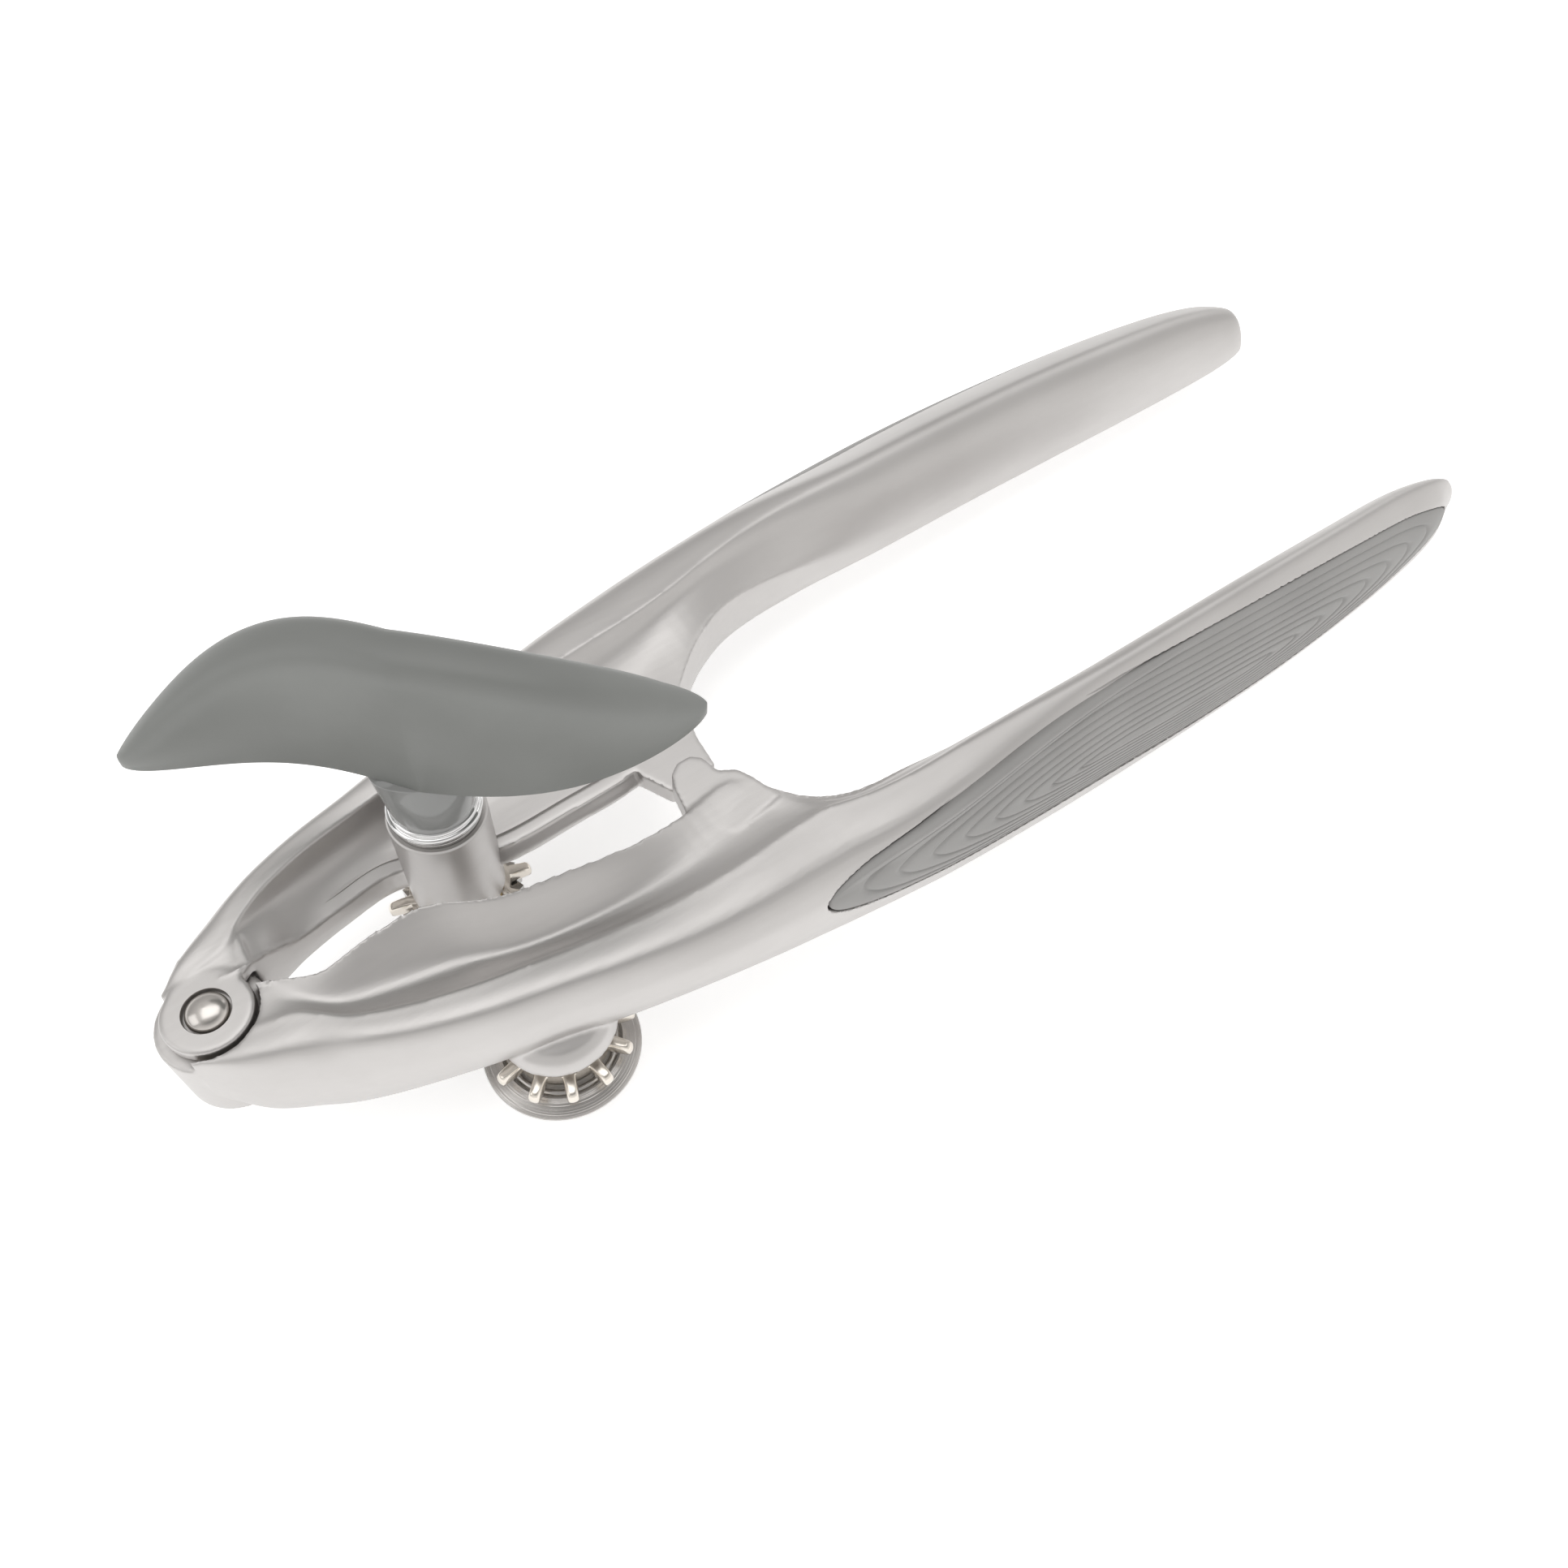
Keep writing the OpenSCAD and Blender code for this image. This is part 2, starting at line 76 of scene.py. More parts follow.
class Nodes:
    """Short calls for building one material's node tree."""

    def __init__(self, name):
        self.material = bpy.data.materials.new(name)
        self.material.use_nodes = True
        self.tree = self.material.node_tree
        self.shader = self.tree.nodes["Principled BSDF"]

    def add(self, kind, inputs=None, **settings):
        node = self.tree.nodes.new(kind)
        for key, value in settings.items():
            setattr(node, key, value)
        for key, value in (inputs or {}).items():
            if isinstance(value, bpy.types.NodeSocket):
                self.tree.links.new(value, node.inputs[key])
            else:
                node.inputs[key].default_value = value
        return node

    def link(self, source, socket):
        self.tree.links.new(source, self.shader.inputs[socket])

    def coords(self, scale):
        where = self.add("ShaderNodeTexCoord").outputs["Object"]
        return self.add(
            "ShaderNodeMapping", {"Vector": where, "Scale": scale}
        ).outputs[0]

    def noise(self, scale, size, detail=3.0):
        return self.add(
            "ShaderNodeTexNoise",
            {"Vector": self.coords(scale), "Scale": size, "Detail": detail},
        ).outputs["Fac"]

    def ramp(self, fac, stops):
        ramp = self.add("ShaderNodeValToRGB", {"Fac": fac})
        elements = ramp.color_ramp.elements
        while len(elements) < len(stops):
            elements.new(0.5)
        for element, (position, value) in zip(elements, stops):
            element.position = position
            element.color = (*value, 1.0)
        return ramp.outputs["Color"]

    def levels(self, fac, low, high):
        return self.add(
            "ShaderNodeMapRange",
            {"Value": fac, "To Min": low, "To Max": high},
        ).outputs["Result"]

    def bump(self, height, strength, distance, under=None):
        inputs = {"Height": height, "Strength": strength, "Distance": distance}
        if under is not None:
            inputs["Normal"] = under
        return self.add("ShaderNodeBump", inputs).outputs["Normal"]


def cast_metal():
    """Satin plated die casting: fine blasted grain, faint long polishing streaks."""
    n = Nodes("cast_satin")
    cloud = n.noise((1, 1, 1), 45.0, 4.0)
    streak = n.noise((22, 160, 160), 9.0, 3.0)
    n.link(n.ramp(cloud, [(0.3, (0.556, 0.541, 0.531)), (0.7, (0.592, 0.577, 0.567))]),
           "Base Color")
    n.link(n.levels(streak, 0.38, 0.48), "Roughness")
    grain = n.noise((1, 1, 1), 4200.0, 2.0)
    soft = n.bump(streak, 0.06, 0.0002)
    n.link(n.bump(grain, 0.10, 0.00004, soft), "Normal")
    n.shader.inputs["Metallic"].default_value = 1.0
    return n.material


def turned_metal(name, color, rough, rings=0.0, rings_at=(0, 0), pitch=2400.0):
    """Turned or plated metal, with concentric tool marks round an upright axis."""
    n = Nodes(name)
    cloud = n.noise((1, 1, 1), 140.0, 3.0)
    dark = tuple(0.86 * c for c in color)
    n.link(n.ramp(cloud, [(0.25, dark), (0.75, color)]), "Base Color")
    n.link(n.levels(cloud, 0.8 * rough, 1.25 * rough), "Roughness")
    grain = n.noise((1, 1, 1), 3000.0, 2.0)
    normal = n.bump(grain, 0.08, 0.00004)
    if rings:
        x, y, _ = metres([rings_at[0], rings_at[1], 0])
        where = n.add("ShaderNodeTexCoord").outputs["Object"]
        centred = n.add(
            "ShaderNodeVectorMath",
            {0: where, 1: (x, y, 0)},
            operation="SUBTRACT",
        ).outputs[0]
        flat = n.add(
            "ShaderNodeVectorMath",
            {0: centred, 1: (1, 1, 0)},
            operation="MULTIPLY",
        ).outputs[0]
        radius = n.add(
            "ShaderNodeVectorMath", {0: flat}, operation="LENGTH"
        ).outputs["Value"]
        grooves = n.add(
            "ShaderNodeTexNoise",
            {"W": radius, "Scale": pitch, "Detail": 2.0},
            noise_dimensions="1D",
        ).outputs["Fac"]
        normal = n.bump(grooves, rings, 0.00012, normal)
    n.link(normal, "Normal")
    n.shader.inputs["Metallic"].default_value = 1.0
    return n.material


def moulded_plastic(name, color, rough, grain_size=2600.0, coat=0.0):
    """Moulded plastic: fine texture, a slight cloud of colour and gloss."""
    n = Nodes(name)
    cloud = n.noise((1, 1, 1), 60.0, 4.0)
    low = tuple(0.93 * c for c in color)
    high = tuple(1.06 * c for c in color)
    n.link(n.ramp(cloud, [(0.3, low), (0.7, high)]), "Base Color")
    n.link(n.levels(cloud, 0.92 * rough, 1.08 * rough), "Roughness")
    grain = n.noise((1, 1, 1), grain_size, 3.0)
    n.link(n.bump(grain, 0.12, 0.00005), "Normal")
    if coat:
        n.shader.inputs["Coat Weight"].default_value = coat
        n.shader.inputs["Coat Roughness"].default_value = 0.08
    return n.material


CAST = cast_metal()
CHROME = turned_metal("polished_chrome", (0.86, 0.86, 0.86), 0.05)
BRIGHT = turned_metal("bright_steel", (0.66, 0.63, 0.60), 0.22)
TURNED = turned_metal("turned_flange", (0.50, 0.49, 0.48), 0.24, 0.35, DRIVE)
CUTTER_STEEL = turned_metal(
    "cutter_steel", (0.56, 0.54, 0.52), 0.26, 0.55, CUTTER, 3600.0)
NICKEL = turned_metal("nickel_gear", (0.80, 0.75, 0.68), 0.20)
BRASS = turned_metal("brass_washer", (0.72, 0.56, 0.30), 0.30)
GRIP = moulded_plastic("grip_inlay", (0.325, 0.320, 0.314), 0.55)
KEY = moulded_plastic("key_plastic", (0.205, 0.212, 0.203), 0.42)
STEM = moulded_plastic("stem_gloss", (0.24, 0.245, 0.24), 0.18, coat=0.8)


def paint(thing, material):
    thing.data.materials.clear()
    thing.data.materials.append(material)


# ------------------------------------------------------------- mesh helpers


def mesh_object(name, points, faces, smooth=True):
    mesh = bpy.data.meshes.new(name)
    mesh.from_pydata([tuple(p) for p in metres(points)], [], faces)
    mesh.validate()
    mesh.update()
    thing = bpy.data.objects.new(name, mesh)
    bpy.context.scene.collection.objects.link(thing)
    if smooth:
        mesh.shade_smooth()
    return thing


def loft_faces(rings, count):
    """Quads between successive rings of count points, with capped ends."""
    faces = []
    for i in range(rings - 1):
        for j in range(count):
            k = (j + 1) % count
            faces.append((i * count + j, i * count + k,
                          (i + 1) * count + k, (i + 1) * count + j))
    faces.append(tuple(range(count - 1, -1, -1)))
    faces.append(tuple((rings - 1) * count + j for j in range(count)))
    return faces


def prism(name, outline, low, high):
    """Upright prism over a closed outline."""
    n = len(outline)
    points = [(x, y, low) for x, y in outline] + [(x, y, high) for x, y in outline]
    return mesh_object(name, points, loft_faces(2, n), smooth=False)


def turned(name, at, profile, steps=96):
    """Solid of revolution about an upright axis; profile is (radius, height)."""
    points = []
    for k in range(steps):
        a = math.tau * k / steps
        points += [(at[0] + r * math.cos(a), at[1] + r * math.sin(a), z)
                   for r, z in profile]
    n = len(profile)
    faces = []
    for k in range(steps):
        m = (k + 1) % steps
        for j in range(n - 1):
            faces.append((k * n + j, m * n + j, m * n + j + 1, k * n + j + 1))
    if profile[0] != profile[-1]:
        faces.append(tuple(k * n for k in range(steps - 1, -1, -1)))
        faces.append(tuple(k * n + n - 1 for k in range(steps)))
    return mesh_object(name, points, faces)


def apply_modifiers(thing):
    depsgraph = bpy.context.evaluated_depsgraph_get()
    mesh = bpy.data.meshes.new_from_object(thing.evaluated_get(depsgraph))
    old = thing.data
    thing.modifiers.clear()
    thing.data = mesh
    bpy.data.meshes.remove(old)


def boolean(thing, tool, operation):
    m = thing.modifiers.new(operation, "BOOLEAN")
    m.operation = operation
    m.solver = "EXACT"
    m.object = tool
    apply_modifiers(thing)
    bpy.data.objects.remove(tool)


def fuse(name, solids, cuts, voxel, soften, crisp=(), drills=()):
    """Solids joined into one skin, cut and softened, then given crisp details."""
    body = solids[0]
    body.name = name
    bm = bmesh.new()
    for s in solids:
        bm.from_mesh(s.data)
    bm.to_mesh(body.data)
    bm.free()
    for s in solids[1:]:
        bpy.data.objects.remove(s)
    remesh = body.modifiers.new("skin", "REMESH")
    remesh.mode = "VOXEL"
    remesh.voxel_size = voxel
    apply_modifiers(body)
    for c in cuts:
        boolean(body, c, "DIFFERENCE")
    smooth = body.modifiers.new("soften", "SMOOTH")
    smooth.factor = 0.5
    smooth.iterations = soften
    apply_modifiers(body)
    for solid in crisp:
        boolean(body, solid, "UNION")
    for drill in drills:
        boolean(body, drill, "DIFFERENCE")
    body.data.shade_smooth()
    body.data.set_sharp_from_angle(angle=math.radians(38))
    return body


# -------------------------------------------------------------------- arms

# Stations along each arm: x, inner edge, outer edge, lip height, dish height,
# crown height, bottom height, rim width, underside of the web. Edges are
# measured outwards from the X axis.
UPPER_ROWS = np.array([
    [-3.2, 3.6, 5.6, 0.6, 1, 1.5, -7, 1.6, -3],
    [0, 3.2, 9.2, 1.4, 1.7, 2.1, -10.5, 4.2, -6],
    [5, 2.4, 12.8, 1.8, 1.9, 2.3, -11.5, 6.6, -7],
    [8, 3.2, 13.9, 0.6, 0.9, 2.4, -11.5, 5.4, -7],
    [12, 4.6, 15.3, -2.2, -0.8, 2.5, -11, 4.8, -7],
    [18, 5.8, 17.0, -3, -2, 2.5, -9.6, 4.7, -7],
    [25, 6.4, 18.5, -3, -2.2, 2.5, -8.8, 5, -7],
    [32, 4, 20.5, -3, -2.8, 2.3, -8.8, 5.6, -6.6],
    [38, 1.6, 22.3, -3, -3, 2.1, -8.8, 6.2, -6.2],
    [48, 1.2, 25.1, -3, -3, 1.8, -9.2, 7.2, -6],
    [58, 1.4, 28.1, -3, -3, 1.4, -11.5, 8.4, -6],
    [66, 4, 30.1, -3, -3, 1, -13.5, 9.4, -7.5],
    [72, 9.5, 31.5, -3, -2.6, 0.7, -15, 10.2, -9.5],
    [79, 14.7, 32.9, -2.8, -1.8, 0.5, -16.4, 10.4, -11],
    [88, 18.6, 34.5, -2.5, -1.4, 0.2, -17.4, 9.8, -12],
    [102, 20.1, 37.4, -2.5, -1.3, -0.1, -18.3, 9.8, -13],
    [120, 19.8, 40, -2.7, -1.5, -0.4, -18.8, 10.6, -13.5],
    [140, 19.8, 40.7, -3.1, -2, -0.9, -19.2, 11.4, -14],
    [162, 19.7, 40.5, -4, -2.9, -1.8, -19.8, 11.6, -14.8],
    [184, 19.1, 39.4, -5, -3.9, -3, -20, 11, -15],
    [201, 19.2, 37.6, -6.5, -5.4, -4.6, -19.6, 9.4, -15.6],
    [211, 19.1, 35.8, -8, -7, -6.2, -18.4, 7.6, -15.3],
    [216.4, 19.4, 33.8, -9.2, -8.4, -7.7, -16.8, 5.8, -14.5],
    [218.2, 20.4, 32.2, -10.2, -9.7, -9.1, -15.6, 3.8, -14],
    [219, 23.4, 29.6, -11.8, -11.4, -10.9, -14, 1.8, -13]])
LOWER_ROWS = np.array([
    [-4, 3.2, 5.2, 0.6, 1, 1.3, -8, 1.6, -3],
    [0, 0.6, 9.6, 1.4, 1.7, 1.9, -11, 5.4, -6],
    [5, -0.2, 12.9, 1.8, 1.9, 2.3, -12, 7.4, -8],
    [8, 1.2, 14.9, 1.9, 1.8, 2.5, -12, 8.4, -7],
    [12, 3.6, 16.9, 2.8, 1.6, 2.8, -11.2, 6.6, -3],
    [18, 3.8, 19.8, 4.2, 1.6, 3.1, -9.4, 6.4, -2],
    [25, 4.8, 22.4, 5.3, 1.5, 3.2, -8.6, 6.6, -1.6],
    [32, 8.9, 24.4, 5.6, 1.4, 3.1, -8.6, 7, -1.6],
    [40, 10.5, 26.7, 5, 1.2, 2.8, -8.8, 7.6, -1.8],
    [50, 11.2, 29, 3, 0.8, 2.2, -9.4, 8.6, -2.4],
    [59, 10.2, 30.3, 0.9, 0.4, 1.7, -11.5, 9.6, -2.6],
    [66, 9.6, 31, 0.5, 0.2, 1.2, -13.5, 10.6, -2.9],
    [69, 12.4, 31.3, 0.2, 0.1, 1, -14.4, 11, -6],
    [73, 16.8, 31.7, -0.6, 0, 0.8, -15.4, 11.4, -9],
    [79, 19.1, 32.3, -1.8, -0.9, 0.5, -16.4, 10.6, -11],
    [88, 19.6, 33.1, -2.3, -1.1, 0.2, -17.4, 10.4, -12],
    [102, 20, 33.8, -2.3, -1.2, -0.1, -18.3, 11.2, -13],
    [120, 20.6, 34.5, -2.5, -1.4, -0.4, -18.8, 12.4, -13.5],
    [140, 21.3, 35.5, -3.1, -2, -1, -19.2, 12.8, -14],
    [161, 21.9, 36.1, -4.4, -3.3, -2.2, -19.8, 11.8, -15],
    [182, 22.7, 35.9, -6, -4.9, -4, -20, 10.2, -15.4],
    [197, 23.3, 35.2, -7.8, -6.7, -5.9, -19.6, 8, -16],
    [207, 25.2, 34.1, -9.4, -8.4, -7.6, -18.4, 5.6, -15.8],
    [212, 27.5, 32.2, -10.8, -10, -9.3, -17, 3.8, -15],
    [214.4, 29.1, 31.4, -12.2, -11.8, -11.4, -15.4, 1.6, -14.2]])


def hermite(t, values, x):
    """Smooth curve through (t, values), sampled at x."""
    t, values = np.asarray(t, float), np.asarray(values, float)
    slopes = np.gradient(values, t)
    slopes[1:-1] = (values[2:] - values[:-2]) / (t[2:] - t[:-2])
    i = np.clip(np.searchsorted(t, x, side="right") - 1, 0, len(t) - 2)
    w = t[i + 1] - t[i]
    u = (x - t[i]) / w
    return (values[i] * (2 * u**3 - 3 * u**2 + 1)
            + slopes[i] * w * (u**3 - 2 * u**2 + u)
            + values[i + 1] * (3 * u**2 - 2 * u**3)
            + slopes[i + 1] * w * (u**3 - u**2))


def rounded(points, per_span=5):
    """Closed Catmull-Rom curve through points."""
    p = np.asarray(points)
    out = []
    for i in range(len(p)):
        a, b, c, d = p[i - 1], p[i], p[(i + 1) % len(p)], p[(i + 2) % len(p)]
        for k in range(per_span):
            t = k / per_span
            out.append(b + 0.5 * t * (c - a + t * (2 * a - 5 * b + 4 * c - d
                       + t * (3 * (b - c) + d - a))))
    return out


def ramp(x, a, b):
    """Smooth step from 0 at a to 1 at b."""
    t = min(max((x - a) / (b - a), 0.0), 1.0)
    return t * t * (3 - 2 * t)


def jaw_outline(wide, lip, dish, crown, bottom, rim, under):
    """Jaw end of an arm: a lip, a dish and a rounded outer rim."""
    web = wide - rim
    h = crown - bottom
    return [
        (0, under),
        (0, lip - 0.4),
        (0.3 * min(web, 2), lip),
        (0.55 * web, dish),
        (0.84 * web, dish + 0.36 * (crown - dish)),
        (0.985 * web, crown - 0.06 * (crown - dish)),
        (web + 0.06 * rim, crown),
        (wide - 0.42 * rim, crown - 0.005 * rim**2),
        (wide - 0.13 * rim, crown - 0.25 * h),
        (wide - 0.02 * rim, crown - 0.44 * h),
        (wide, crown - 0.58 * h),
        (wide - 0.06 * rim, crown - 0.78 * h),
        (wide - 0.22 * rim, bottom + 0.07 * h),
        (wide - 0.5 * rim, bottom),
        (wide - 0.8 * rim, bottom + 0.03 * h),
        (wide - 0.97 * rim, bottom + min(0.14 * h, 0.5 * (under - bottom))),
        (0.96 * web, under)]


def handle_outline(wide, crown, bottom, under):
    """Handle end of an arm: a ridge between two slanted faces."""
    h = crown - bottom
    s = crown - under
    return [
        (0, under),
        (0, under + 0.1 * s),
        (0.03 * wide, under + 0.3 * s),
        (0.09 * wide, under + 0.55 * s),
        (0.16 * wide, under + 0.76 * s),
        (0.25 * wide, crown - 0.08 * s),
        (0.37 * wide, crown),
        (0.5 * wide, crown - 0.055 * h),
        (0.75 * wide, crown - 0.26 * h),
        (0.91 * wide, crown - 0.47 * h),
        (0.985 * wide, crown - 0.68 * h),
        (wide, crown - 0.86 * h),
        (0.95 * wide, crown - 0.97 * h),
        (0.78 * wide, bottom),
        (0.5 * wide, bottom + 0.05 * h),
        (0.25 * wide, bottom + 0.13 * h),
        (0.08 * wide, under - 0.06 * s)]


def arm_section(rows, x):
    """Cross-section of an arm at x, as (outward, up) points."""
    inner, outer, lip, dish, crown, bottom, rim, under = (
        float(hermite(rows[:, 0], rows[:, c], x)) for c in range(1, 9))
    wide = outer - inner
    rim = min(rim, wide - 0.7)
    under = min(under, lip - 1.2, dish - 1.2)
    jaw = jaw_outline(wide, lip, dish, crown, bottom, rim, under)
    handle = handle_outline(wide, crown, bottom, under)
    k = ramp(x, 72, 125)
    return [(inner + (1 - k) * a[0] + k * b[0], (1 - k) * a[1] + k * b[1])
            for a, b in zip(jaw, handle)]


def swept_arm(name, rows, side, steps=170):
    """The whole arm as one sweep, with closer rings towards both ends."""
    first, last = rows[0, 0], rows[-1, 0]
    points = []
    for i in range(steps + 1):
        t = i / steps
        x = first + (last - first) * (t - 0.12 * math.sin(math.tau * t))
        ring = rounded(arm_section(rows, min(x, last - 1e-6)))
        points += [(x, side * y, z) for y, z in ring]
        count = len(ring)
    faces = loft_faces(steps + 1, count)
    if side > 0:
        faces = [tuple(reversed(f)) for f in faces]
    return mesh_object(name, points, faces)


def post(name, at, radius, low, high):
    """Upright cylinder."""
    return turned(name, at, [(0.001, low), (radius, low), (radius, high), (0.001, high)])


def rail(first, last, inset=1.7, thick=0.45, low=-4.0, high=-2.55, steps=16):
    """Low rail on the key arm's floor, along its inner edge."""
    xs = [first + (last - first) * k / steps for k in range(steps + 1)]
    edge = [(x, float(hermite(UPPER_ROWS[:, 0], UPPER_ROWS[:, 1], x)) + inset) for x in xs]
    far = [(x, y + thick) for x, y in reversed(edge)]
    return prism("rail", edge + far, low, high)


def upper_arm():
    body = swept_arm("sweep", UPPER_ROWS, 1)
    boolean(body, post("nose_gap", (0, 0), 6.8, -14, -0.02), "DIFFERENCE")
    eye = post("eye", (0, 0), 5.1, 0.05, 2.05)
    neck = prism("neck", [(-3.4, 3.4), (0, 8), (7, 6.5), (6.4, 2.6), (4.6, 1.6), (0, -2)],
                 0, 1.8)
    ear = prism("ear", [(58.4, 6), (58.6, 0), (60.4, -4.4), (64, -5.4), (67.6, -4.2),
                        (68.4, 0.8), (70.5, 7), (66, 9)], -6, -3)
    x, y = DRIVE
    saddle = prism("saddle", [(x - 5.5, y), (x + 5.5, y), (x + 5.5, y + 10),
                              (x - 5.5, y + 10)], -6.4, -3)
    boss = turned("boss", DRIVE, [
        (0.001, BOSS_BOTTOM), (BOSS_R - 0.3, BOSS_BOTTOM), (BOSS_R, BOSS_BOTTOM + 0.3),
        (BOSS_R, BOSS_TOP - 0.2), (BOSS_R - 0.2, BOSS_TOP), (0.001, BOSS_TOP)], 144)
    seat = turned("rivet_seat", (0, 0), [
        (0.001, 1.0), (2.72, 1.0), (2.72, 1.95), (2.9, 2.3), (0.001, 2.3)], 96)
    return fuse("upper_arm_cast", [body, eye, neck, ear, saddle],
                [pocket(UPPER_ROWS, 1)], SKIN_VOXEL, 6,
                [boss, rail(14, 27), rail(38, 57)],
                [seat, post("rivet_hole", (0, 0), 1.85, -3, 4),
                 post("bore", DRIVE, 4.4, -12, BOSS_TOP + 1)])


def lower_arm():
    body = swept_arm("sweep", LOWER_ROWS, -1)
    boolean(body, post("eye_gap", (0, 0), 5.6, -0.3, 6), "DIFFERENCE")
    nose = post("nose", (0, 0), 6.4, -11.6, -0.3)
    lobe = turned("lobe", CUTTER, [
        (0.001, -4.6), (2.2, -4.7), (4.2, -5.0), (5.8, -5.7), (6.8, -6.6), (7.3, -7.6),
        (7.4, -8.6), (0.001, -8.6)])
    seat = post("seat", CUTTER, 5.6, -9.8, -7.6)
    tab = prism("tab", [(58, -12), (59.6, -5.8), (60.6, -4.0), (62.2, -3.0),
                        (64.2, -3.1), (65.4, -4.2), (65.8, -7), (67.9, -8.4),
                        (68.8, -10.4), (70, -15), (62, -16)], -2.65, 0.4)
    return fuse("lower_arm_cast", [body, nose, lobe, seat, tab],
                [pocket(LOWER_ROWS, -1), ear_space()], SKIN_VOXEL, 6, (), [boss_room()])


def boss_room():
    """Room for the boss beside the lip once the arms are closed."""
    c, s = math.cos(CLOSED), math.sin(CLOSED)
    at = (c * DRIVE[0] + s * DRIVE[1], c * DRIVE[1] - s * DRIVE[0])
    return post("boss_room", at, BOSS_R + 0.3, -12, 12)


def ear_space(steps=40):
    """Hollow under the tab that the ear swings into as the arms close."""
    near, far = 57.0, 71.6
    first, last = -math.radians(18.4), 0.35
    arc = [first + (last - first) * k / steps for k in range(steps + 1)]
    outline = [(far * math.cos(a), far * math.sin(a)) for a in arc]
    outline += [(near * math.cos(a), near * math.sin(a)) for a in reversed(arc)]
    return prism("ear_space", outline, -8.5, -2.65)


def show(thing, material, body, node):
    """Paint a piece and put it in the place of one CAD node."""
    paint(thing, material)
    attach(thing, body)
    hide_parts(node)


# ------------------------------------------------------------- grip inlays

GROOVES = 8
INLAY_MIDDLE = 137.5
# How far each inlay reaches above its axis: the lower handle's, the upper handle's
INLAY_HIGH = {-1: 5.5, 1: 2.4}


def wall_table(rows, side):
    """Outer wall of a handle as a function of x and z."""
    xs = np.linspace(64, 213, 120)
    zs = np.linspace(-19, -3, 60)
    grid = []
    for x in xs:
        ring = np.array(rounded(arm_section(rows, x), 8))
        crest = int(np.argmax(ring[:, 1] + 0.02 * ring[:, 0]))
        foot = int(np.argmin(ring[:, 1]))
        wall = ring[crest:foot + 1]
        grid.append(np.interp(zs, wall[::-1, 1], wall[::-1, 0]))
    return xs, zs, np.array(grid)


def wall_at(table, x, z):
    xs, zs, grid = table
    u = np.clip((x - xs[0]) / (xs[1] - xs[0]), 0, len(xs) - 1.001)
    v = np.clip((z - zs[0]) / (zs[1] - zs[0]), 0, len(zs) - 1.001)
    i, j = int(u), int(v)
    u, v = u - i, v - j
    return ((1 - u) * ((1 - v) * grid[i, j] + v * grid[i, j + 1])
            + u * ((1 - v) * grid[i + 1, j] + v * grid[i + 1, j + 1]))


def inlay_ring(share, grow, high, count=240):
    """One contour of the inlay: share 0 is its rim, 1 its innermost groove."""
    middle = INLAY_MIDDLE - 4.5 * share
    half = 71.5 - 50.0 * share + grow
    above = high * (1 - 0.85 * share) + grow
    below = 7.8 - 7.0 * share + grow
    ring = []
    for k in range(count):
        a = math.tau * k / count
        x = middle + half * math.cos(a)
        axis = -8.0 - 2.2 * share - 0.063 * (x - INLAY_MIDDLE)
        rise = above if math.sin(a) > 0 else below
        ring.append((x, axis + rise * math.sin(a)))
    return ring


def inlay_shell(name, table, side, rings):
    """Skin through contours given as (share, growth, height over the wall)."""
    points = []
    for share, grow, rise in rings:
        for x, z in inlay_ring(share, grow, INLAY_HIGH[side]):
            points.append((x, side * (wall_at(table, x, z) + rise), z))
    count = len(points) // len(rings)
    faces = loft_faces(len(rings), count)
    if side > 0:
        faces = [tuple(reversed(f)) for f in faces]
    return mesh_object(name, points, faces)


def grip(name, rows, side):
    rings = [(0, 0, -1.9), (0, 0, -0.3), (0, -0.12, -0.08), (0, -0.35, 0.02)]
    for k in range(1, GROOVES + 1):
        s = k / GROOVES
        lift = 0.16 * min(1.0, s * 2)
        rings += [(s - 0.030, 0, lift), (s - 0.012, 0, lift - 0.08),
                  (s, 0, lift - 0.42), (s + 0.012, 0, lift - 0.08),
                  (s + 0.030, 0, lift)]
    rings.append((1.10, 0, 0.16))
    return inlay_shell(name, wall_table(rows, side), side, rings)


def pocket(rows, side):
    """The hollow that an inlay sits in, as a solid to be cut from its handle."""
    return inlay_shell("pocket", wall_table(rows, side), side,
                       [(0, 0.3, -2.0), (0, 0.3, 4.0)])


show(upper_arm(), CAST, "key_arm", "upper_arm")
show(lower_arm(), CAST, "cutter_arm", "lower_arm")
show(grip("upper_inlay", UPPER_ROWS, 1), GRIP, "key_arm", "upper_grip")
show(grip("lower_inlay", LOWER_ROWS, -1), GRIP, "cutter_arm", "lower_grip")

# --------------------------------------------------------------- key pieces


